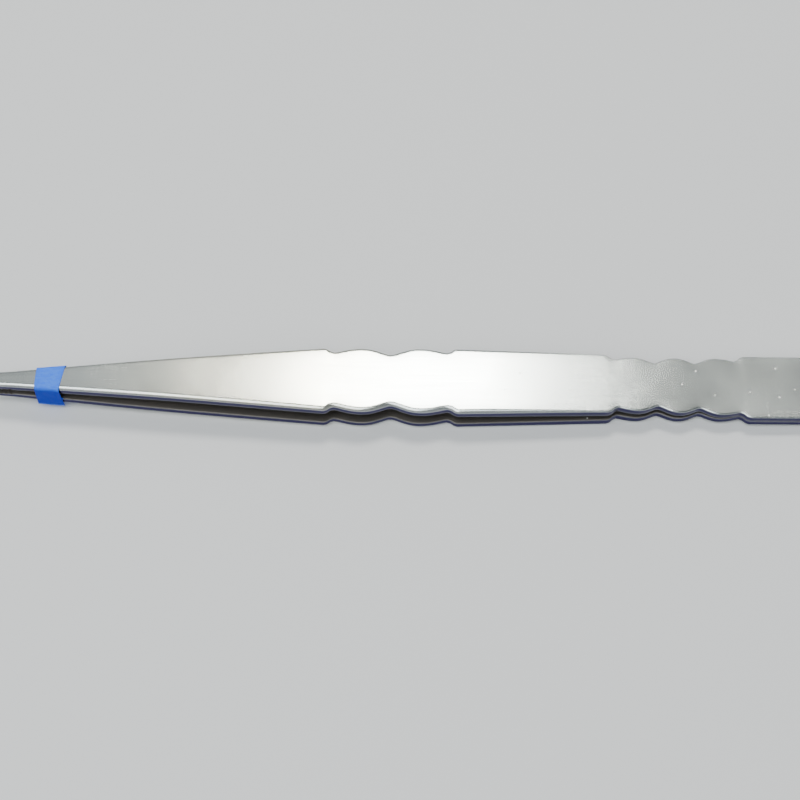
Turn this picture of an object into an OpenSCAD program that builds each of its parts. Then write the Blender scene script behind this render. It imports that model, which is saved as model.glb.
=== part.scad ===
// Thumb forceps of the dental tweezer kind, with scalloped edges.
// Two sprung steel leaves lie one on the other and are riveted together at the heel.
// +X runs from the tips to the heel, +Z is up, and the origin lies under the middle of the forceps.

/* [Overall] */
// Length from the tips to the heel's end
length = 140; // [110:1:180]
// Width of the plain edge at the heel side of the grip
grip_w = 11.35; // [8:0.05:14]
// Width of the plain edge at the tip side of the grip, where the taper begins
taper_w = 10.95; // [8:0.05:14]
// Width of the plain edge at the tip side of the heel's scallops
waist_w = 10.05; // [8:0.05:14]
// Width of the heel
heel_w = 10.75; // [8:0.05:14]
// Width of each slender point where the taper ends
point_w = 2.75; // [1.6:0.05:4]
// Length of each slender point
point_l = 12; // [8:0.5:14]
// Width of each tip
tip_w = 1.6; // [1:0.1:2.4]
// Corner radius of the heel's end
heel_corner_r = 3.6; // [1:0.1:3.9]

/* [Leaves] */
// Thickness of a leaf from the grip to the taper
arm_t = 1.35; // [0.9:0.05:1.8]
// Thickness of a leaf in the spring and the heel
heel_t = 1.0; // [0.6:0.05:1.2]
// Thickness of a leaf at its tip
tip_t = 1.1; // [0.5:0.05:1.2]
// Length ahead of the grip over which a leaf keeps its full thickness
even_l = 30; // [10:1:34]
// How far the flat that is ground over the grip runs past the grip's shoulders
ground_over = 4.5; // [3:0.5:6]
// How far that flat is hollow in its middle
ground_hollow = 0.03; // [0.02:0.01:0.08]
// How far each leaf stands off the middle plane along the grip
bow = 1.1; // [0.8:0.05:2]
// How far each leaf stands off the middle plane where its spring stretch ends
spring_rise = 0.42; // [0.2:0.02:0.6]
// Distance from the parting line to the end of the spring stretch
spring_bend_l = 13; // [10:0.5:16]
// Distance from the heel's end to where the leaves start to run parallel
parallel_from_heel = 74; // [66:1:80]
// Length over which the leaves run parallel
parallel_l = 30; // [16:1:34]
// Length over which a bend of the leaves is rounded
bend_l = 8; // [4:1:10]
// Gap between the tips at rest
tip_gap = 0.4; // [0.3:0.05:1]

/* [Joined heel] */
// Length over which the two leaves touch
heel_l = 20.7; // [15:0.1:26]
// Distance from the leaves' parting line to the line that they flex about
flex_l = 7; // [5:0.1:10]
// Length over which a leaf thickens from the spring to the arm
spring_l = 38; // [15:1:44]
// Width of the slit that stands for the flexing line
flex_slit = 0.15; // [0.1:0.01:0.3]

/* [Rivets] */
// Radius of a rivet's shank
rivet_r = 0.8; // [0.5:0.05:1.1]
// Radius of a rivet's flush head
rivet_head_r = 1.3; // [1.15:0.05:1.6]
// Depth of a rivet's countersunk head
rivet_head_h = 0.4; // [0.2:0.05:0.5]
// Distance between the two rivets
rivet_pitch = 4.5; // [3.5:0.1:6]
// Distance from the heel's end to the rear rivet
rivet_inset = 4.6; // [4:0.1:6]
// Clearance around a rivet
rivet_clear = 0.01; // [0.01:0.01:0.05]

/* [Scallops] */
// Spacing of the grip's notches
grip_pitch = 8.5; // [6:0.05:9]
// Depth of a grip notch
grip_depth = 1.1; // [0.5:0.05:1.6]
// Distance from the heel's end to the grip notch that is nearest to it
grip_from_heel = 63.8; // [60:0.1:70]
// Spacing of the heel's notches
heel_pitch = 6.1; // [5:0.05:6.3]
// Depth of a heel notch
heel_depth = 1.35; // [0.5:0.05:1.8]
// How far the heel scallops' crests lie inside the plain edge
heel_crest_inset = 0.4; // [0:0.05:0.6]
// Distance from the heel's end to the heel notch that is nearest to it
heel_from_heel = 21; // [20:0.1:23]
// Length of the shoulder outside each group of notches
shoulder_l = 1.3; // [1:0.1:2]
// Depth of an end notch as a share of the others
end_share = 0.65; // [0.5:0.05:1]

/* [Jaws] */
// Length of the serrated inner face at the tips
jaw_l = 12; // [6:1:18]
// Spacing of the serrations
tooth_pitch = 0.8; // [0.5:0.1:1.2]
// Depth of a serration
tooth_h = 0.2; // [0.1:0.05:0.3]

/* [Tape] */
// Width of the marking tape
tape_w = 3.9; // [3:0.1:7]
// Thickness of the tape
tape_t = 0.12; // [0.1:0.01:0.2]
// Distance from the tips to the middle of the tape
tape_from_tip = 17.7; // [14:0.1:40]
// How far the upper strip's skirts hang below the lower leaf
tape_sag = 0.3; // [0:0.05:0.4]
// Clearance between the tape and what it lies on
tape_clear = 0.03; // [0.02:0.01:0.1]
// Clearance between the upper strip's skirts and the lower strip
skirt_clear = 0.1; // [0.05:0.01:0.2]

/* [Hidden] */
steel = "lightsteelblue";
rivet_steel = "slategray";
tape_blue = "dodgerblue";

tip_x = -length / 2;
heel_x = length / 2;
point_x = tip_x + point_l;
parting_x = heel_x - heel_l;
flex_x = parting_x - flex_l;
rear_rivet_x = heel_x - rivet_inset;
front_rivet_x = rear_rivet_x - rivet_pitch;

GRIP_NOTCHES = 3;
HEEL_NOTCHES = 4;
grip_last_x = heel_x - grip_from_heel;
grip_first_x = grip_last_x - (GRIP_NOTCHES - 1) * grip_pitch;
heel_last_x = heel_x - heel_from_heel;
heel_first_x = heel_last_x - (HEEL_NOTCHES - 1) * heel_pitch;
grip_x0 = grip_first_x - shoulder_l;
grip_x1 = grip_last_x + shoulder_l;
heel_x0 = heel_first_x - shoulder_l;
heel_x1 = heel_last_x + shoulder_l;

// A notch's bottom is rounded by this share of its depth
SOFT = 0.18;
// Length of an outline's straight pieces along a scallop
SCALLOP_STEP = 0.5;
// Length of a profile's straight pieces along a leaf
PROFILE_STEP = 3.5;
// Pieces in a quarter turn at the heel's corners and in the half turn at a tip
ROUND_STEPS = 8;
// Fineness of the rivets
RIVET_FN = 48;
// Far enough to cut right through anything
FAR = 20;

function clamp(v) = min(1, max(0, v));
function ease(v) = let (c = clamp(v)) c * c * (3 - 2 * c);
function mix(a, b, v) = a + (b - a) * v;
function sum(list, i = 0) = i < len(list) ? list[i] + sum(list, i + 1) : 0;

// The leaf's side view: the inner face's bends, from the tip to the heel, as x and half the gap.
parallel_x1 = heel_x - parallel_from_heel;
parallel_x0 = parallel_x1 - parallel_l;
bends = [
    [tip_x, tip_gap / 2], [parallel_x0, bow], [parallel_x1, bow],
    [parting_x - spring_bend_l, spring_rise], [parting_x, 0], [heel_x, 0]
];
// Half the gap at any x: the straight runs between the bends, averaged over a bend's rounding.
BEND_SAMPLES = 4;
function round_over(x) = max(0, min(bend_l / 2, parting_x - x, x - tip_x));
function half_gap(x) = let (r = round_over(x), n = BEND_SAMPLES)
    x >= parting_x ? 0
    : sum([for (i = [-n:n]) lookup(x + r * i / n, bends)]) / (2 * n + 1);
taper_x = grip_first_x - even_l;
function thick(x) = mix(heel_t, arm_t, ease((parting_x - x) / spring_l))
    - (arm_t - tip_t) * ease((taper_x - x) / (taper_x - tip_x));

// The outer face is ground flat over the grip, so that the forceps lie steady on the plain edges
// before and behind the scallops.
ground_x0 = grip_x0 - ground_over;
ground_x1 = grip_x1 + ground_over;
function pressed(x) = half_gap(x) + thick(x);
function outer(x) = let (u = clamp((x - ground_x0) / (ground_x1 - ground_x0)))
    u == 0 || u == 1 ? pressed(x)
    : mix(pressed(ground_x0), pressed(ground_x1), u) - 4 * ground_hollow * u * (1 - u);

// Stations along a leaf from x0 to x1, with the first one left out where it is already there.
function stations(x0, x1, step, first = 0) = let (n = max(1, round((x1 - x0) / step)))
    [for (i = [first:n]) x0 + (x1 - x0) * i / n];

// Stations that an outer face is drawn through, the same ones for both leaves.
arm_stations = concat(
    stations(tip_x, ground_x0, PROFILE_STEP),
    stations(ground_x0, ground_x1, PROFILE_STEP, 1),
    stations(ground_x1, flex_x - flex_slit / 2, PROFILE_STEP, 1)
);
spring_stations = stations(flex_x + flex_slit / 2, parting_x, PROFILE_STEP);
mid_z = max([for (x = concat(arm_stations, spring_stations)) outer(x)]);

// The plain edge before the notches are cut: half the width at any x.
function plain_edge(x) =
    x < point_x ? mix(tip_w, point_w, (x - tip_x) / point_l) / 2
    : x < grip_x0 ? mix(point_w, taper_w, (x - point_x) / (grip_x0 - point_x)) / 2
    : x < grip_x1 ? mix(taper_w, grip_w, (x - grip_x0) / (grip_x1 - grip_x0)) / 2
    : x < heel_x0 ? mix(grip_w, waist_w, (x - grip_x1) / (heel_x0 - grip_x1)) / 2
    : mix(waist_w, heel_w, ease((x - heel_x0) / (heel_x1 - heel_x0))) / 2;

// A scallop's fall from its crest, 0, to the notch, 1, for u from -0.5 to 0.5 about the notch.
function fall(u) = abs(u) >= 0.5 ? 0
    : 1 - (sqrt(pow(sin(180 * u), 2) + SOFT * SOFT) - SOFT) / (sqrt(1 + SOFT * SOFT) - SOFT);

// How far a group of n notches cuts into the edge at x.
function group_cut(x, first_x, pitch, n, depth, inset) =
    let (
        last_x = first_x + (n - 1) * pitch,
        k = round(clamp((x - first_x) / (last_x - first_x)) * (n - 1)),
        d = x - (first_x + k * pitch),
        deep = (k == 0 || k == n - 1) ? depth * end_share : depth,
        outside = (k == 0 && d < 0) || (k == n - 1 && d > 0)
    )
    outside ? deep * fall(d / shoulder_l / 2)
    : inset + (deep - inset) * fall(d / pitch);

function edge(x) = plain_edge(x)
    - group_cut(x, grip_first_x, grip_pitch, GRIP_NOTCHES, grip_depth, 0)
    - group_cut(x, heel_first_x, heel_pitch, HEEL_NOTCHES, heel_depth, heel_crest_inset);

// One side of the outline, from the tip to the heel.
half_outline = concat(
    [for (i = [0:ROUND_STEPS]) let (a = 90 * i / ROUND_STEPS)
        [tip_x + tip_w / 2 * (1 - cos(a)), tip_w / 2 * sin(a)]],
    [[point_x, point_w / 2]],
    [for (x = stations(grip_x0, grip_x1, SCALLOP_STEP)) [x, edge(x)]],
    [for (x = stations(heel_x0, heel_x1, SCALLOP_STEP)) [x, edge(x)]],
    [for (i = [0:ROUND_STEPS]) let (a = 90 * i / ROUND_STEPS)
        [heel_x - heel_corner_r * (1 - sin(a)), heel_w / 2 - heel_corner_r * (1 - cos(a))]]
);
outline = concat(
    half_outline,
    [for (i = [len(half_outline) - 1:-1:1]) [half_outline[i][0], -half_outline[i][1]]]
);

// The leaf seen from above, as a prism.
module plan() {
    translate([0, 0, -FAR / 2]) linear_extrude(height = FAR) polygon(outline);
}

// A side view drawn in X and Z, as a prism across the forceps.
module side_prism(points) {
    rotate([90, 0, 0]) translate([0, 0, -FAR / 2]) linear_extrude(height = FAR) polygon(points);
}

// Serrations of the inner face: crests on the face, and roots cut into it.
tooth_count = floor(jaw_l / tooth_pitch);
teeth = [for (i = [0:tooth_count - 1]) let (x = tip_x + (i + 0.5) * tooth_pitch)
    each [[x, half_gap(x)], [x + tooth_pitch / 2, half_gap(x + tooth_pitch / 2) + tooth_h]]];
plain_jaw_x = tip_x + (tooth_count + 0.5) * tooth_pitch;

// A leaf from the flexing line to the tip, above the middle plane.
arm_inner = concat(
    [[tip_x, half_gap(tip_x)]],
    teeth,
    [for (x = stations(plain_jaw_x, flex_x - flex_slit / 2, PROFILE_STEP)) [x, half_gap(x)]]
);
// A leaf from the flexing line to the heel's end, above the middle plane.
heel_inner = concat(
    [for (x = spring_stations) [x, half_gap(x)]],
    [[heel_x, 0]]
);
heel_outer = concat(
    [for (x = spring_stations) [x, outer(x)]],
    [[heel_x, heel_t]]
);

function reversed(list) = [for (i = [len(list) - 1:-1:0]) list[i]];
arm_side = concat(arm_inner, reversed([for (x = arm_stations) [x, outer(x)]]));
heel_side = concat(heel_inner, reversed(heel_outer));

// A rivet above the middle plane, or the hole for it when it is grown by the clearance.
module half_rivet(x, grow = 0) {
    translate([x, 0, 0]) {
        cylinder(h = heel_t - rivet_head_h, r = rivet_r + grow, $fn = RIVET_FN);
        translate([0, 0, heel_t - rivet_head_h])
            cylinder(h = rivet_head_h, r1 = rivet_r + grow, r2 = rivet_head_r + grow, $fn = RIVET_FN);
    }
}

module rivet_holes() {
    for (x = [front_rivet_x, rear_rivet_x]) half_rivet(x, rivet_clear);
}

// The two leaves and the rivets are drawn about the middle plane and lifted to rest at z = 0.
module lifted() {
    translate([0, 0, mid_z]) children();
}

// A leaf ahead of the line that it flexes about, above the middle plane.
module leaf_arm() {
    intersection() {
        plan();
        side_prism(arm_side);
    }
}

// A leaf behind the line that it flexes about, above the middle plane.
module leaf_heel() {
    difference() {
        intersection() {
            plan();
            side_prism(heel_side);
        }
        rivet_holes();
    }
}

module lower_leaf() {
    color(steel) lifted() mirror([0, 0, 1]) leaf_arm();
}

module lower_leaf_heel() {
    color(steel) lifted() mirror([0, 0, 1]) leaf_heel();
}

module upper_leaf() {
    color(steel) lifted() leaf_arm();
}

module upper_leaf_heel() {
    color(steel) lifted() leaf_heel();
}

module heel_rivet(x) {
    color(rivet_steel) lifted() {
        half_rivet(x);
        mirror([0, 0, 1]) half_rivet(x);
    }
}

// The tape's place on the straight taper between the tips and the grip.
tape_x0 = tip_x + tape_from_tip - tape_w / 2;
tape_x1 = tape_x0 + tape_w;
skirt_z = -outer(tape_x0 + tape_w / 2) - tape_sag;
lower_strip_grow = tape_clear + tape_t;
skirt_grow = lower_strip_grow + skirt_clear;

// The space round the taper, grown sideways, between two heights at each end.
module tape_core(grow, low, high, over = 0) {
    xs = [tape_x0 - over, tape_x1 + over];
    intersection() {
        translate([0, 0, -FAR / 2]) linear_extrude(height = FAR) polygon([
            [xs[0], -plain_edge(xs[0]) - grow], [xs[1], -plain_edge(xs[1]) - grow],
            [xs[1], plain_edge(xs[1]) + grow], [xs[0], plain_edge(xs[0]) + grow]
        ]);
        side_prism([[xs[0], low], [xs[1], low], [xs[1], high[1]], [xs[0], high[0]]]);
    }
}

function tape_heights(over, lift) = [outer(tape_x0 - over) + lift, outer(tape_x1 + over) + lift];

// The leaf's outer face bulges between the tape's two ends by less than this
TAPE_BULGE = 0.02;
CUT_OVER = 1;

// The upper strip lies over the upper leaf, and its skirts hang past the lower leaf.
module tape_upper() {
    color(tape_blue) lifted() difference() {
        tape_core(skirt_grow + tape_t, skirt_z, tape_heights(0, TAPE_BULGE + tape_clear + tape_t));
        tape_core(
            skirt_grow, skirt_z - CUT_OVER, tape_heights(CUT_OVER, TAPE_BULGE + tape_clear), CUT_OVER
        );
    }
}

// The lower strip lies under the lower leaf and turns up against its edges.
module tape_lower() {
    lip_z = -half_gap(tape_x0);
    color(tape_blue) lifted() mirror([0, 0, 1]) difference() {
        tape_core(lower_strip_grow, -lip_z, tape_heights(0, TAPE_BULGE + tape_clear + tape_t));
        tape_core(
            tape_clear, -lip_z - CUT_OVER, tape_heights(CUT_OVER, TAPE_BULGE + tape_clear), CUT_OVER
        );
    }
}

lower_leaf();
lower_leaf_heel();
upper_leaf();
upper_leaf_heel();
heel_rivet(front_rivet_x);  // heel_rivet_front
heel_rivet(rear_rivet_x);  // heel_rivet_rear
tape_upper();
tape_lower();
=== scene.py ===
"""Thumb forceps of the dental dressing kind, taped shut, lying on their broad face."""
import math

import bmesh
import bpy
import numpy as np
from mathutils import Matrix, Vector
from mathutils.bvhtree import BVHTree


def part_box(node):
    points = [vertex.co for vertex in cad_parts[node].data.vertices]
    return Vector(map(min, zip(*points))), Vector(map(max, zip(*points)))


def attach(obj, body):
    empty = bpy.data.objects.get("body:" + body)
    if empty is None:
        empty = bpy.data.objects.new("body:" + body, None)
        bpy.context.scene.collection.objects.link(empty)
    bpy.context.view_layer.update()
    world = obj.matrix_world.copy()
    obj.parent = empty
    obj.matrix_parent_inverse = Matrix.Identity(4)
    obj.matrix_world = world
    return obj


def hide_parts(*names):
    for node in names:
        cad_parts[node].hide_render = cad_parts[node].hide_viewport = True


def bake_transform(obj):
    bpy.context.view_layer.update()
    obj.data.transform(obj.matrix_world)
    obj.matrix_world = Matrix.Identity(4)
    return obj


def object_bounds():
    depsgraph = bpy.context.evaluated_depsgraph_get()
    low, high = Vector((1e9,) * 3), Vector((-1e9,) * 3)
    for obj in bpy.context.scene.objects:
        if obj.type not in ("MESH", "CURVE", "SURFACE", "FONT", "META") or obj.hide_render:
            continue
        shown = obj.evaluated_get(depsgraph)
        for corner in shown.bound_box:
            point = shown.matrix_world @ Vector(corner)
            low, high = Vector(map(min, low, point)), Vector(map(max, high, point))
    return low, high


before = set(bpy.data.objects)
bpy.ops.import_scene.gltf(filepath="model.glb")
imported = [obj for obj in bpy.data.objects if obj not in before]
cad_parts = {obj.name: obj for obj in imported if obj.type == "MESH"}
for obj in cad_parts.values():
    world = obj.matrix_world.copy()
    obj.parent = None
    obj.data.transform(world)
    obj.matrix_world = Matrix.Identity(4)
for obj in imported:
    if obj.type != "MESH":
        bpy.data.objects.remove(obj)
cad_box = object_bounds()

# Lower and upper leaf. Each is one stamped strip of stainless steel, ground to a taper, bowed,
# and scalloped along both edges for grip. Its outer edges are tumbled round, and its tip is
# serrated inside. The two are twins that lie back to back at the heel.
MM = 0.001
OUTER_ROUND = 0.60 * MM
CRISP_ROUND = 0.22 * MM
CRISP_FROM, CRISP_TO = 12 * MM, 30 * MM
INNER_ROUND = 0.12 * MM
CROWN = 0.04 * MM
FACE_MARGIN = 0.08 * MM
ARC_STEPS = 9
STATION = 1.0 * MM
PRESSED_SMOOTH = 8.0 * MM
ACROSS = 8
HOLE_MARGIN = 0.5 * MM
# A face is measured at this share of the half width, by rays that start this far away.
FACE_SAMPLE = 0.6
RAY_FROM = 50 * MM
# The crown fades out on narrow stretches, and keeps this share at the face's margin.
CROWN_FADE = 3 * MM
MARGIN_CROWN = 0.1
SHARP_ANGLE = math.radians(32)
WELD, SLIVER = 1e-6, 1e-7


class Leaf:
    """The outline and the two faces of one leaf, measured on its CAD solids."""

    def __init__(self, node_names, outward):
        self.outward = outward
        self.trees = []
        widest = {}
        holes = [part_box("heel_rivet_front"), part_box("heel_rivet_rear")]
        for name in node_names:
            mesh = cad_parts[name].data
            shape = bmesh.new()
            shape.from_mesh(mesh)
            self.trees.append(BVHTree.FromBMesh(shape))
            shape.free()
            for vertex in mesh.vertices:
                x, y = round(vertex.co.x, 6), abs(vertex.co.y)
                if any(
                    low.x - HOLE_MARGIN < x < high.x + HOLE_MARGIN and y < high.y + HOLE_MARGIN
                    for low, high in holes
                ):
                    continue
                widest[x] = max(widest.get(x, 0.0), y)
        corners = sorted(widest)
        stations = set(corners)
        for before, after in zip(corners, corners[1:]):
            extra = int((after - before) / STATION)
            stations.update(
                before + (after - before) * k / (extra + 1) for k in range(1, extra + 1)
            )
        self.plan_x = np.array(sorted(stations))
        self.plan_y = np.interp(self.plan_x, corners, [widest[x] for x in corners])
        on_face = [(x, *self.face_heights(x)) for x in self.plan_x[1:-1]]
        on_face = [row for row in on_face if row[1] is not None]
        self.face_x, self.inner_z, outer_z = np.array(on_face, float).T
        even_x = np.arange(self.face_x[0], self.face_x[-1], STATION / 2)
        even_z = np.interp(even_x, self.face_x, outer_z)
        reach = int(PRESSED_SMOOTH / (STATION / 2))
        padded = np.concatenate([
            2 * even_z[0] - even_z[reach:0:-1], even_z, 2 * even_z[-1] - even_z[-2:-reach - 2:-1]
        ])
        window = np.hanning(2 * reach + 3)[1:-1]
        self.even_x, self.outer_z = even_x, np.convolve(padded, window / window.sum(), "valid")

    def face_heights(self, x):
        """The heights of the inner and the outer face at x, well inside the edge."""
        y = FACE_SAMPLE * float(np.interp(x, self.plan_x, self.plan_y))
        heights = []
        for tree in self.trees:
            for side in (-1, 1):
                hit = tree.ray_cast(Vector((x, y, side * RAY_FROM)), Vector((0, 0, -side)))[0]
                if hit is not None:
                    heights.append(hit.z)
        if not heights:
            return None, None
        return (min(heights), max(heights)) if self.outward > 0 else (max(heights), min(heights))

    def half_width(self, x):
        return np.interp(x, self.plan_x, self.plan_y)

    def inner(self, x):
        return np.interp(x, self.face_x, self.inner_z)

    def outer(self, x):
        return np.interp(x, self.even_x, self.outer_z)

    def edge_round(self, x):
        """How far the outer edge is rounded at x: generously on the arm, hardly at the heel."""
        return float(np.interp(x, (CRISP_FROM, CRISP_TO), (OUTER_ROUND, CRISP_ROUND)))

    def outline(self):
        """Points and outward normals of one side's edge, from the tip to the heel's middle."""
        end_x, end_y = self.plan_x[-1], self.plan_y[-1]
        points = [(x, y) for x, y in zip(self.plan_x, self.plan_y)]
        points += [(end_x, end_y * share) for share in (0.75, 0.5, 0.25, 0.0)]
        points = np.array(points)
        points[0, 1] = 0.0
        before = np.vstack([points[1] * (1, -1), points[:-1]])
        after = np.vstack([points[1:], points[-2] * (1, -1)])
        along = after - before
        normals = np.stack([-along[:, 1], along[:, 0]], axis=1)
        return points, normals / np.linalg.norm(normals, axis=1, keepdims=True)


def leaf_section(edge_round):
    """Steps round one side of a section: inset from the edge, and distance from a face."""
    outer = [
        (edge_round * (1 - math.cos(a)), "outer", edge_round * (1 - math.sin(a)))
        for a in (math.pi / 2 * k / ARC_STEPS for k in range(ARC_STEPS, -1, -1))
    ]
    inner = [
        (INNER_ROUND * (1 - math.cos(a)), "inner", INNER_ROUND * (1 - math.sin(a)))
        for a in (0.0, math.pi / 4, math.pi / 2)
    ]
    return outer + inner


def skinned(name, shape):
    """Turns the built faces into one smooth mesh that faces outward."""
    bmesh.ops.recalc_face_normals(shape, faces=shape.faces)
    mesh = bpy.data.meshes.new(name)
    shape.to_mesh(mesh)
    shape.free()
    mesh.shade_smooth()
    return mesh


def linked(name, data):
    """A new object of the scene."""
    made = bpy.data.objects.new(name, data)
    bpy.context.scene.collection.objects.link(made)
    return made


def leaf_mesh(name, leaf):
    """One leaf as a closed skin: rounded along its outline, nearly flat across its faces."""
    points, normals = leaf.outline()
    shares = [1 - 2 * k / ACROSS for k in range(1, ACROSS)]
    sign = leaf.outward
    rings = []
    for point, normal in zip(points, normals):
        side = []
        for inset, face, depth in leaf_section(leaf.edge_round(point[0])):
            x = point[0] - normal[0] * inset
            y = max(0.0, point[1] - normal[1] * inset)
            z = leaf.outer(x) - sign * depth if face == "outer" else leaf.inner(x) + sign * depth
            side.append((x, y, z))
        outer_edge, inner_edge = side[0], side[-1]

        def face_row(edge, height, crown):
            x, y, _ = edge
            margin = max(0.0, y - FACE_MARGIN)
            row = [(x, margin, height(x) + crown * MARGIN_CROWN)]
            row += [(x, margin * s, height(x) + crown * (1 - s * s)) for s in shares]
            return row + [(x, -margin, height(x) + crown * MARGIN_CROWN)]

        over = face_row(outer_edge, leaf.outer, sign * CROWN * min(1, point[1] / CROWN_FADE))
        under = face_row(inner_edge, leaf.inner, 0.0)
        far_side = [(x, -y, z) for x, y, z in side]
        rings.append(side[::-1] + over + far_side + under[::-1])
    shape = bmesh.new()
    # Flags the inner faces, which the material darkens with painted shade.
    inside = shape.verts.layers.float.new("inside")
    inner_face = ACROSS + 1
    rows = [[shape.verts.new(co) for co in ring] for ring in rings]
    for row in rows:
        for vertex in row[-inner_face - 2:] + row[:2]:
            vertex[inside] = 1.0
    for first, second in zip(rows, rows[1:]):
        for k in range(len(first)):
            j = (k + 1) % len(first)
            shape.faces.new((first[k], first[j], second[j], second[k]))
    bmesh.ops.remove_doubles(shape, verts=shape.verts, dist=WELD)
    bmesh.ops.dissolve_degenerate(shape, edges=shape.edges, dist=SLIVER)
    mesh = skinned(name, shape)
    mesh.set_sharp_from_angle(angle=SHARP_ANGLE)
    return linked(name, mesh)


class Signal:
    """A socket of a material's nodes that takes part in arithmetic."""

    def __init__(self, tree, socket):
        self.tree = tree
        self.socket = socket

    def node(self, kind, settings=None, out=0, **values):
        """Adds a node, sets it up, feeds its inputs, and gives one of its outputs."""
        made = self.tree.nodes.new(kind)
        for key, value in (settings or {}).items():
            setattr(made, key, value)
        for key, value in values.items():
            index = int(key[1:]) if key[0] == "i" and key[1:].isdigit() else key.replace("_", " ")
            if isinstance(value, Signal):
                self.tree.links.new(value.socket, made.inputs[index])
            else:
                made.inputs[index].default_value = value
        return Signal(self.tree, made.outputs[out])

    def maths(self, operation, *operands):
        values = {f"i{k}": operand for k, operand in enumerate(operands)}
        return self.node("ShaderNodeMath", {"operation": operation}, **values)

    def __add__(self, other):
        return self.maths("ADD", self, other)

    __radd__ = __add__

    def __sub__(self, other):
        return self.maths("SUBTRACT", self, other)

    def __rsub__(self, other):
        return self.maths("SUBTRACT", other, self)

    def __mul__(self, other):
        return self.maths("MULTIPLY", self, other)

    __rmul__ = __mul__

    def clip(self, low, high):
        """0 below low, 1 above high, and even between."""
        return self.node(
            "ShaderNodeMapRange",
            Value=self, From_Min=low, From_Max=high, To_Min=0.0, To_Max=1.0
        )

    def stretched(self, *scale):
        return self.node(
            "ShaderNodeVectorMath", {"operation": "MULTIPLY"}, i0=self, i1=Vector(scale)
        )

    def noise(self, scale, detail=2.0, roughness=0.5):
        return self.node(
            "ShaderNodeTexNoise", Vector=self, Scale=scale, Detail=detail, Roughness=roughness
        )

    def mix(self, low, high):
        """A colour that goes from low to high as the signal goes from 0 to 1."""
        low, high = (c if isinstance(c, Signal) else (*c, 1.0) for c in (low, high))
        return self.node("ShaderNodeMix", {"data_type": "RGBA"}, out=2, i0=self, i6=low, i7=high)

    def washed(self, tint, share):
        """A colour that goes part of the way to a tint."""
        return self.node(
            "ShaderNodeMix", {"data_type": "RGBA"}, out=2, i0=share, i6=self, i7=(*tint, 1.0)
        )

    def split(self, axis):
        return self.node("ShaderNodeSeparateXYZ", out=axis, i0=self)

    def again(self, output):
        """Another output of the same node."""
        return Signal(self.tree, self.socket.node.outputs[output])

    def level(self):
        """1 where the surface lies level, and 0 where it stands upright."""
        normal = self.node("ShaderNodeNewGeometry", out=1)
        return normal.node("ShaderNodeVectorMath", {"operation": "ABSOLUTE"}, i0=normal).split(2)

    def turned(self, angle):
        return self.node(
            "ShaderNodeVectorRotate", {"rotation_type": "Z_AXIS"}, Vector=self, Angle=angle
        )


def new_surface(name):
    """A material with its main shader, and the object's own coordinates to paint by."""
    material = bpy.data.materials.new(name)
    material.use_nodes = True
    tree = material.node_tree
    shader = tree.nodes["Principled BSDF"]
    place = Signal(tree, tree.nodes.new("ShaderNodeTexCoord").outputs["Object"])
    return material, shader, place


def feed(shader, name, signal):
    signal.tree.links.new(signal.socket, shader.inputs[name])


STEEL_LIGHT = (0.66, 0.70, 0.68)
STEEL_DARK = (0.53, 0.575, 0.57)
WARM_REFLECTION_TINT = (0.74, 0.715, 0.58)
WALL_REFLECTION_NAVY = (0.045, 0.040, 0.105)
PIT_TONE = (1.0, 1.0, 0.98)
SCRATCH_TONE = (0.80, 0.80, 0.78)
INSIDE_SHADE_TONE = (0.20, 0.185, 0.17)
GRAIN = (60.0, 9000.0, 9000.0)
LONG_GRAIN = (14.0, 2600.0, 2600.0)
CROSS_GRAIN = (2200.0, 260.0, 900.0)
HAIRLINE = (70.0, 1500.0, 1500.0)
HAIRLINE_TURN = 0.5
KNOCKED = (12 * MM, 34 * MM)
WARM_RISE, WARM_FALL = (-48 * MM, -30 * MM), (-14 * MM, 2 * MM)
WALL_LEVEL = (0.12, 0.62)

leaf_steel, shader, place = new_surface("leaf_steel")
grain = place.stretched(*GRAIN).noise(1.0, 3.0)
long_grain = place.stretched(*LONG_GRAIN).noise(1.0, 2.0)
cross_grain = place.stretched(*CROSS_GRAIN).noise(1.0, 2.0)
cloud = place.noise(170.0, 3.0)
fingered = place.noise(60.0, 2.0)
# Nicks sit thickest round the heel's scallops, where the forceps knock against others in a tray.
along = place.split(0)
knocked = along.clip(*KNOCKED) * 0.22 + 0.03
dots = place.node(
    "ShaderNodeTexVoronoi", {"voronoi_dimensions": "2D"}, Vector=place, Scale=420.0
)
chosen = dots.again("Color").split(0)
nick = (1 - dots.clip(0.03, 0.07)) * (knocked - chosen).clip(0.0, 0.02)
hairline = place.turned(HAIRLINE_TURN).stretched(*HAIRLINE).noise(1.0, 1.0).clip(0.705, 0.73)
hairline = hairline * cloud.clip(0.45, 0.6) * 0.4
# Painted reflection: the leaves' upright walls are painted dark navy, as if they mirrored dark blue
# cloth beside them.
reflecting_wall = 1 - place.level().clip(*WALL_LEVEL)
tone = (cloud * 0.4 + long_grain * 0.35 + cross_grain * 0.25).clip(0.3, 0.7)
tone = tone.mix(STEEL_DARK, STEEL_LIGHT)
# Painted reflection: a stretch of the arm is washed warm, a cast of reflected warm light rather
# than a tint of the steel.
warm_reflection = along.clip(*WARM_RISE) * (1 - along.clip(*WARM_FALL))
tone = warm_reflection.mix(tone, tone.washed(WARM_REFLECTION_TINT, 0.6))
tone = hairline.mix(tone, SCRATCH_TONE)
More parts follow.
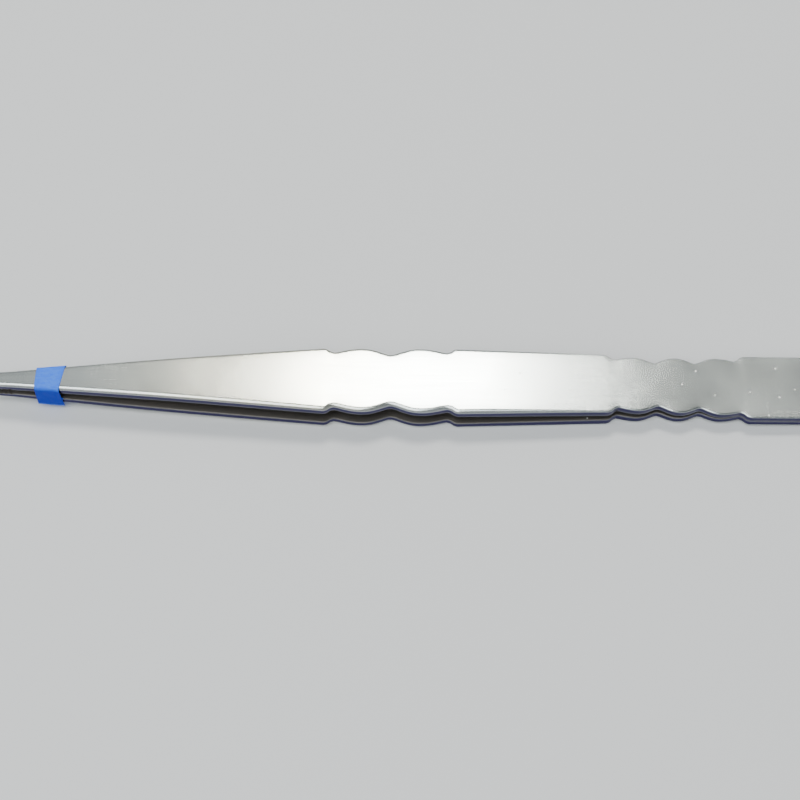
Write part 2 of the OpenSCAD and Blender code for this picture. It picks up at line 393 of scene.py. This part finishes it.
# The faces that look at each other are painted darker, as painted shade where little light gets
# between the leaves, and made duller than the outer ones.
inside = place.node("ShaderNodeAttribute", {"attribute_name": "inside"}, out=2)
tone = inside.mix(tone, INSIDE_SHADE_TONE)
tone = reflecting_wall.mix(tone, WALL_REFLECTION_NAVY)
feed(shader, "Base Color", nick.mix(tone, PIT_TONE))
rough = 0.165 + grain * 0.09 + cross_grain * 0.03 + fingered.clip(0.45, 0.75) * 0.05
feed(shader, "Roughness", rough - reflecting_wall * 0.04 + nick * 0.2 + inside * 0.35)
shader.inputs["Metallic"].default_value = 1.0
relief = grain * 0.5 + long_grain * 0.3 + cross_grain * 0.08 - hairline * 0.3 - nick * 0.8
feed(shader, "Normal", place.node("ShaderNodeBump", Strength=0.07, Distance=0.00004, Height=relief))

leaf_nodes = {
    "lower": ["lower_leaf", "lower_leaf_heel"],
    "upper": ["upper_leaf", "upper_leaf_heel"],
}
leaves = {side: Leaf(nodes, -1 if side == "lower" else 1) for side, nodes in leaf_nodes.items()}
for side, leaf in leaves.items():
    piece = leaf_mesh(f"{side}_leaf_skin", leaf)
    piece.data.materials.append(leaf_steel)
    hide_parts(*leaf_nodes[side])
    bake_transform(piece)

# Heel rivets. Each is a short steel pin through both leaves, headed on both faces and ground
# almost flush, so its heads stand a hair above the steel.
RIVET_STEEL = (0.60, 0.61, 0.60)
RIVET_RISE = CROWN + 0.035 * MM
RIVET_SIDES = 48
RIVET_SHADE = 0.85
# A head's rings from its middle out: share of the radius, and share of the rise.
RIVET_PROFILE = [(0.0, 1.0), (0.55, 0.97), (0.86, 0.8), (0.95, 0.3), (1.0, -0.6)]

rivet_steel, shader, place = new_surface("rivet_steel")
turned = place.stretched(700.0, 9000.0, 9000.0).noise(1.0, 3.0)
feed(shader, "Base Color", turned.mix(tuple(RIVET_SHADE * c for c in RIVET_STEEL), RIVET_STEEL))
feed(shader, "Roughness", 0.28 + turned * 0.12)
shader.inputs["Metallic"].default_value = 1.0

for name in ("heel_rivet_front", "heel_rivet_rear"):
    low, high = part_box(name)
    centre, radius = (low + high) / 2, (high.x - low.x) / 2
    shape = bmesh.new()
    for sign, top in ((1, high.z), (-1, low.z)):
        rings = []
        for share, rise in RIVET_PROFILE:
            z = top + sign * RIVET_RISE * rise
            if share == 0.0:
                rings.append([shape.verts.new((centre.x, centre.y, z))] * RIVET_SIDES)
                continue
            rings.append([
                shape.verts.new((
                    centre.x + radius * share * math.cos(math.tau * k / RIVET_SIDES),
                    centre.y + radius * share * math.sin(math.tau * k / RIVET_SIDES), z
                )) for k in range(RIVET_SIDES)
            ])
        for near, far in zip(rings, rings[1:]):
            for k in range(RIVET_SIDES):
                j = (k + 1) % RIVET_SIDES
                corners = [near[k], far[k], far[j], near[j]]
                shape.faces.new(list(dict.fromkeys(corners)))
    heads = linked(f"{name}_heads", skinned(f"{name}_heads", shape))
    heads.data.materials.append(rivet_steel)
    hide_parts(name)
    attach(heads, "heel")

# Marking tape. A strip of thin light blue film, wrapped once round both leaves near the tips. It
# lies tight over the upper leaf's rounded edges, a little askew, with soft wrinkles at its sides.
TAPE_BLUE = (0.018, 0.15, 1.0)
TAPE_PALE = (0.065, 0.27, 1.0)
TAPE_SIDE_SHADE = (0.003, 0.030, 0.45)
TAPE_ALONG = 22
SKIRT_STEPS, BEND_STEPS, TOP_STEPS = 8, 6, 8
TAPE_LIFT = 0.05 * MM
TAPE_THICK = 0.09 * MM
TAPE_SKEW = 0.32 * MM
TAPE_DRIFT = 0.35 * MM
WRINKLE = 0.035 * MM
# How fast a wrinkle waves, in radians to the metre: down a side, round it, along the leaf, askew.
WAVE_DOWN, WAVE_ROUND, WAVE_ALONG, WAVE_ASKEW = 2300, 900, 1700, 700
WAVE_DRIFT = 5
SKIRT_PROUD = 0.14 * MM
LOWER_LIP = 0.45 * MM

marking_tape, shader, place = new_surface("marking_tape")
crinkle = place.stretched(900.0, 1600.0, 1600.0).noise(1.0, 3.0)
fibre = place.stretched(2600.0, 5200.0, 5200.0).noise(1.0, 2.0)
# Painted shade: the tape's upright sides are painted a darker blue than its top, which faces the
# light.
tape_side_shade = 1 - place.level().clip(0.1, 0.8)
film_tone = (crinkle * 0.6 + fibre * 0.4).clip(0.3, 0.7).mix(TAPE_BLUE, TAPE_PALE)
feed(shader, "Base Color", tape_side_shade.mix(film_tone, TAPE_SIDE_SHADE))
feed(shader, "Roughness", 0.55 + fibre * 0.2)
shader.inputs["Specular IOR Level"].default_value = 0.25
relief = crinkle * 0.7 + fibre * 0.3
feed(shader, "Normal", place.node("ShaderNodeBump", Strength=0.35, Distance=0.00008, Height=relief))


def tape_strip(name, leaf, reach_z, body, proud):
    """One strip: across the leaf's outer face, round both edges, and on to reach_z."""
    low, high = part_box(name)
    sign = leaf.outward
    rows = []
    for i in range(TAPE_ALONG + 1):
        along = i / TAPE_ALONG
        x0 = low.x + (high.x - low.x) * along
        half = float(leaf.half_width(x0)) + TAPE_LIFT + proud
        crown = float(leaf.outer(x0)) + sign * TAPE_LIFT
        bend = OUTER_ROUND + TAPE_LIFT
        drop = abs(crown - reach_z) - bend
        path = [
            (half, crown - sign * (bend + drop * k / SKIRT_STEPS))
            for k in range(SKIRT_STEPS, 0, -1)
        ]
        path += [
            (half - bend * (1 - math.cos(a)), crown - sign * bend * (1 - math.sin(a)))
            for a in (math.pi / 2 * k / BEND_STEPS for k in range(BEND_STEPS + 1))
        ]
        path += [((half - bend) * (1 - k / TOP_STEPS), crown) for k in range(1, TOP_STEPS)]
        far = [(-y, z) for y, z in path[::-1]]
        path += [(0.0, crown)] + far
        row = []
        for y, z in path:
            fallen = abs(crown - z)
            drift = TAPE_DRIFT * fallen / (drop + bend) if y < 0 else 0
            shift = along * (TAPE_SKEW * y / half + drift)
            wave = math.sin(WAVE_DOWN * z + WAVE_DRIFT * along + WAVE_ROUND * y)
            wave *= math.sin(WAVE_ALONG * x0 + WAVE_ASKEW * z)
            swell = WRINKLE * wave * min(1.0, fallen / bend)
            row.append(Vector((x0 + shift, y + math.copysign(swell, y) if fallen > 0 else y, z)))
        rows.append(row)
    shape = bmesh.new()
    grid = [[shape.verts.new(co) for co in row] for row in rows]
    for first, second in zip(grid, grid[1:]):
        for k in range(len(first) - 1):
            shape.faces.new((first[k], first[k + 1], second[k + 1], second[k]))
    film = linked(f"{name}_film", skinned(f"{name}_film", shape))
    thicken = film.modifiers.new("film", "SOLIDIFY")
    thicken.thickness = TAPE_THICK
    thicken.offset = 0.0
    film.data.materials.append(marking_tape)
    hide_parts(name)
    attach(film, body)


middle_z = (cad_box[0].z + cad_box[1].z) / 2
tape_strip("tape_upper", leaves["upper"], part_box("tape_upper")[0].z, "upper_arm", SKIRT_PROUD)
tape_strip("tape_lower", leaves["lower"], middle_z - LOWER_LIP, "lower_arm", 0.0)

# Floor, light and camera. The forceps rest on the bow of the lower leaf and on the heel's end, so
# the plain pale floor leans by the angle between those two.
heel_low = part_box("lower_leaf_heel")[0].z
heel_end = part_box("lower_leaf_heel")[1].x
lean = max(
    (heel_low - vertex.co.z) / (heel_end - vertex.co.x)
    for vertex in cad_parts["lower_leaf"].data.vertices
)
turn = Matrix.Rotation(-math.atan(lean), 4, "Y")
stance = Matrix.Translation((heel_end, 0, heel_low)) @ turn
FLOOR_TONE = (0.80, 0.805, 0.81)
FLOOR_HALF = 1.2

bpy.ops.mesh.primitive_plane_add(size=2 * FLOOR_HALF)
floor = bpy.context.object
floor.name = "floor"
floor.matrix_world = stance
floor_paper, shader, place = new_surface("floor_paper")
shader.inputs["Base Color"].default_value = (*FLOOR_TONE, 1.0)
shader.inputs["Roughness"].default_value = 0.9
floor.data.materials.append(floor_paper)


def aim(place_from, place_to):
    """The turn that makes a light or a camera look from one point to another."""
    return (Vector(place_to) - Vector(place_from)).to_track_quat("-Z", "Y").to_matrix().to_4x4()


def add_light(name, power, size, place_from, place_to, tint=(1, 1, 1)):
    lamp = bpy.data.lights.new(name, "AREA")
    lamp.shape = "RECTANGLE"
    lamp.size, lamp.size_y = size
    lamp.energy = power
    lamp.color = tint
    lit = linked(name, lamp)
    lit.matrix_world = Matrix.Translation(place_from) @ aim(place_from, place_to)


VIEW_RISE = math.radians(57.5)
VIEW_DISTANCE = 0.235
seen = Vector((-0.0009, -0.0022, middle_z))
out = Vector((0, -math.cos(VIEW_RISE), math.sin(VIEW_RISE)))
camera_data = bpy.data.cameras.new("camera")
camera_data.lens = 72.0
camera_data.sensor_width = 36.0
camera_data.clip_start = 0.01
camera = linked("camera", camera_data)
eye = seen + turn @ (out * VIEW_DISTANCE)
camera.matrix_world = Matrix.Translation(eye) @ turn @ aim(out, (0, 0, 0))
bpy.context.scene.camera = camera

mirror = Vector((0, math.cos(VIEW_RISE), math.sin(VIEW_RISE)))
shine_at = Vector((0.001, 0, middle_z))
overhead = shine_at + mirror * 0.7
WARM, COOL = (1.0, 0.985, 0.93), (0.93, 0.98, 1.0)
add_light("window", 2.5, (0.13, 0.14), overhead + Vector((0.03, 0, 0)), shine_at, WARM)
add_light("side", 0.06, (0.22, 0.16), overhead + Vector((-0.24, 0, 0)), shine_at, COOL)
add_light("front", 2.4, (0.40, 0.42), (-0.13, -0.17, 0.54), (-0.02, 0, 0), COOL)
add_light("fill", 2.2, (0.9, 0.9), (-0.4, -0.6, 0.8), (0, 0, 0))

# The studio's pale walls light the forceps from all round, and its ceiling is dimmer.
WALL_GLOW = (0.36, 0.38, 0.39)
CEILING_GLOW = (0.102, 0.109, 0.112)
CEILING_RISE = (0.62, 0.80)

world = bpy.data.worlds.new("studio")
world.use_nodes = True
nodes = world.node_tree.nodes
sky = Signal(world.node_tree, nodes.new("ShaderNodeTexCoord").outputs["Generated"])
glow = sky.split(2).clip(*CEILING_RISE).mix(WALL_GLOW, CEILING_GLOW)
feed(nodes["Background"], "Color", glow)
bpy.context.scene.world = world
